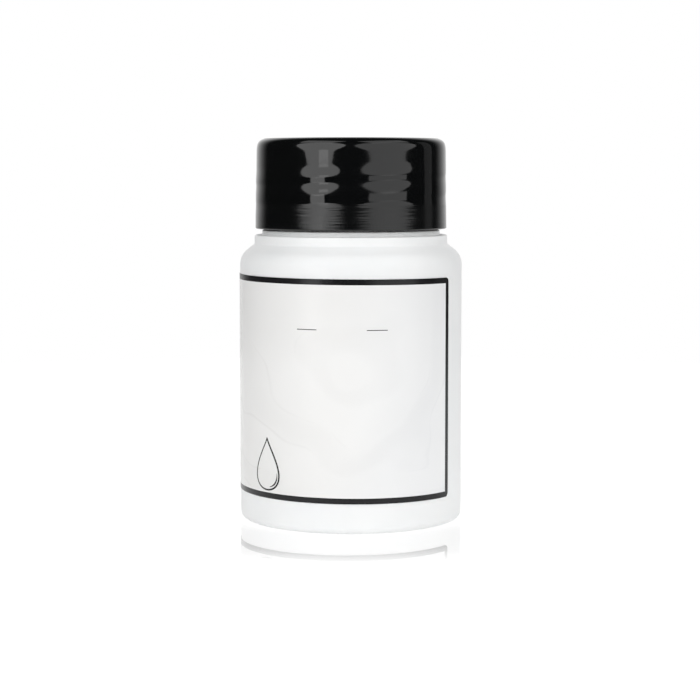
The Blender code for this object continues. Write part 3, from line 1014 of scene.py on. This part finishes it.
def stage_disc(name, radius, height, material):
    bm = bmesh.new()
    bmesh.ops.create_circle(bm, cap_ends=True, segments=FLOOR_SEGMENTS, radius=radius)
    made = add_mesh(name, bm, [material])
    made.location = (0, 0, height)
    return made


def floor_white():
    """Pure white to the eye, but for a weak shadow close to the jar.

    It is clear from below and under the jar's hollow base, so that the underside can be seen.
    """
    nodes = MaterialNodes("floor_white")
    radius = nodes.radius()
    glow = nodes.spread(radius, *FLOOR_GLOW_FADE, FLOOR_GLOW, 0.0)
    foot_glow = nodes.spread(radius, *FOOT_GLOW_FADE, FOOT_GLOW, 0.0)
    nodes.dress({
        "Base Color": FLOOR_PAINT,
        "Roughness": 0.6,
        "Emission Strength": nodes.math("ADD", glow, foot_glow),
    })
    paint = nodes.shader.outputs["BSDF"]
    white = nodes.add("ShaderNodeEmission")
    nodes.fill(white, {"Strength": FLOOR_WHITE})
    path = nodes.add("ShaderNodeLightPath").outputs
    seen = nodes.math("MAXIMUM", path["Is Camera Ray"], path["Is Glossy Ray"])
    seen = nodes.math("MAXIMUM", seen, path["Is Transmission Ray"])
    shadow = nodes.spread(radius, *SHADOW_FADE, SHADOW_SHARE, 0.0)
    surface = nodes.mix_shaders(shadow, white.outputs["Emission"], paint)
    surface = nodes.mix_shaders(seen, paint, surface)
    below = nodes.add("ShaderNodeNewGeometry").outputs["Backfacing"]
    clear = nodes.math("MAXIMUM", below, nodes.math("LESS_THAN", radius, FLOOR_OPENING))
    nothing = nodes.add("ShaderNodeBsdfTransparent").outputs["BSDF"]
    nodes.show(nodes.mix_shaders(clear, surface, nothing))
    return nodes.material


def floor_coat():
    """Clear, with a weak mirror image of the jar on its upper face that fades away from the jar."""
    nodes = MaterialNodes("floor_coat")
    radius = nodes.radius()
    share = nodes.spread(radius, *MIRROR_FADE, MIRROR_SHARE, 0.0)
    share = nodes.math("MULTIPLY", share, nodes.spread(radius, *COAT_FADE_IN))
    below = nodes.add("ShaderNodeNewGeometry").outputs["Backfacing"]
    share = nodes.math("MULTIPLY", share, nodes.math("SUBTRACT", 1.0, below))
    nothing = nodes.add("ShaderNodeBsdfTransparent").outputs["BSDF"]
    mirror = nodes.add("ShaderNodeBsdfGlossy")
    nodes.fill(mirror, {"Color": PLAIN_WHITE, "Roughness": 0.0})
    nodes.show(nodes.mix_shaders(share, nothing, mirror.outputs["BSDF"]))
    return nodes.material


def make_floor():
    """A white floor under a thin clear coat, which only the camera sees."""
    stage_disc("floor", FLOOR_RADIUS, FLOOR_HEIGHT, floor_white())
    coat = stage_disc("floor_coat", MIRROR_FADE[1], COAT_HEIGHT, floor_coat())
    coat.visible_diffuse = False
    coat.visible_glossy = False
    coat.visible_transmission = False
    coat.visible_shadow = False


def make_world():
    """A white backdrop behind all that looks past the jar, and a dim room.

    Gloss sees the backdrop only behind the jar. The floor's sharp mirror sees it all round.
    """
    world = bpy.data.worlds.new("studio")
    world.use_nodes = True
    bpy.context.scene.world = world
    nodes = Nodes(world.node_tree)
    direction = nodes.split(nodes.add("ShaderNodeNewGeometry").outputs["Position"]).outputs
    backdrop = nodes.spread(direction["Y"], *BACKDROP_EDGE, ROOM_GLOW, BACKDROP_GLOW)
    foot = nodes.spread(direction["Z"], *BACKDROP_FOOT, BACKDROP_FOOT_SHARE, 1.0)
    path = nodes.add("ShaderNodeLightPath").outputs
    mirrored = nodes.math("MULTIPLY", path["Is Glossy Ray"], nodes.math("MULTIPLY", backdrop, foot))
    seen = nodes.math("MAXIMUM", path["Is Camera Ray"], path["Is Transmission Ray"])
    seen = nodes.math("MAXIMUM", seen, path["Is Singular Ray"])
    background = world.node_tree.nodes["Background"]
    nodes.fill(background, {"Color": PLAIN_WHITE, "Strength": nodes.math("MAXIMUM", seen, mirrored)})


def soft_box(name, azimuth, elevation, width, height, glow, shape="ELLIPSE"):
    """A lamp 1 m from the jar. Azimuth is from the front towards +X, and glow is its face's brightness."""
    light = bpy.data.lights.new(name, "AREA")
    light.shape = shape
    light.size = width
    light.size_y = height
    face = width * height * (math.pi / 4 if shape == "ELLIPSE" else 1)
    light.energy = glow * face * math.pi
    made = in_scene(name, light)
    turn = math.radians(azimuth)
    rise = math.radians(elevation)
    away = Vector((math.sin(turn) * math.cos(rise), -math.cos(turn) * math.cos(rise), math.sin(rise)))
    made.location = LAMP_AIM + away
    made.rotation_euler = away.to_track_quat("Z", "Y").to_euler()
    made.visible_camera = False
    return made


def fill_box(name, azimuth, elevation, width, height, glow):
    """A soft box that lights the matt surfaces and isn't mirrored in the glossy ones."""
    made = soft_box(name, azimuth, elevation, width, height, glow)
    made.visible_glossy = False
    return made


def make_lights():
    soft_box("left_box", -38.5, 21, 1.14, 0.74, 2.25)
    soft_box("left_high", -50, 54, 0.7, 0.5, 1.6, "RECTANGLE")
    soft_box("left_core", -32.6, 4.6, 0.2, 0.045, 1.3, "RECTANGLE")
    soft_box("left_strip", -40, -5.2, 0.31, 0.24, 2.4, "RECTANGLE")
    soft_box("right_box", 46.0, 21, 1.62, 0.74, 1.32)
    soft_box("right_high", 58, 54, 0.85, 0.5, 1.3, "RECTANGLE")
    soft_box("right_strip", 45.7, -5.2, 0.90, 0.24, 1.25, "RECTANGLE")
    soft_box("back_strip", 106, 8, 0.26, 1.0, 0.2, "RECTANGLE")
    fill_box("front_fill", 15, 4, 0.8, 0.4, 0.7)
    fill_box("left_fill", -108, 28, 1.0, 0.7, 0.42)
    fill_box("right_fill", 108, 24, 1.0, 0.7, 1.0)
    fill_box("back_fill", 180, 20, 1.0, 0.7, 2.6)
    fill_box("top_fill", 0, 88, 1.0, 1.0, 0.3)
    fill_box("under_fill", 0, -88, 1.0, 1.0, 2.2)


def make_camera():
    camera = bpy.data.cameras.new("camera")
    camera.lens = LENS
    camera.sensor_width = SENSOR_WIDTH
    camera.clip_start = CAMERA_NEAR
    made = in_scene("camera", camera)
    made.location = CAMERA_PLACE
    made.rotation_euler = (CAMERA_TILT, 0, 0)
    bpy.context.scene.camera = made


def main():
    make_pot(moulded_white())
    make_cap(gloss_black())
    make_liner(foamed_wad())
    make_sponge(open_foam())
    ink = black_ink()
    make_label(marble_film(), ink)
    make_print(ink)
    make_floor()
    make_world()
    make_lights()
    make_camera()
    bpy.context.scene.view_settings.view_transform = "Standard"


main()
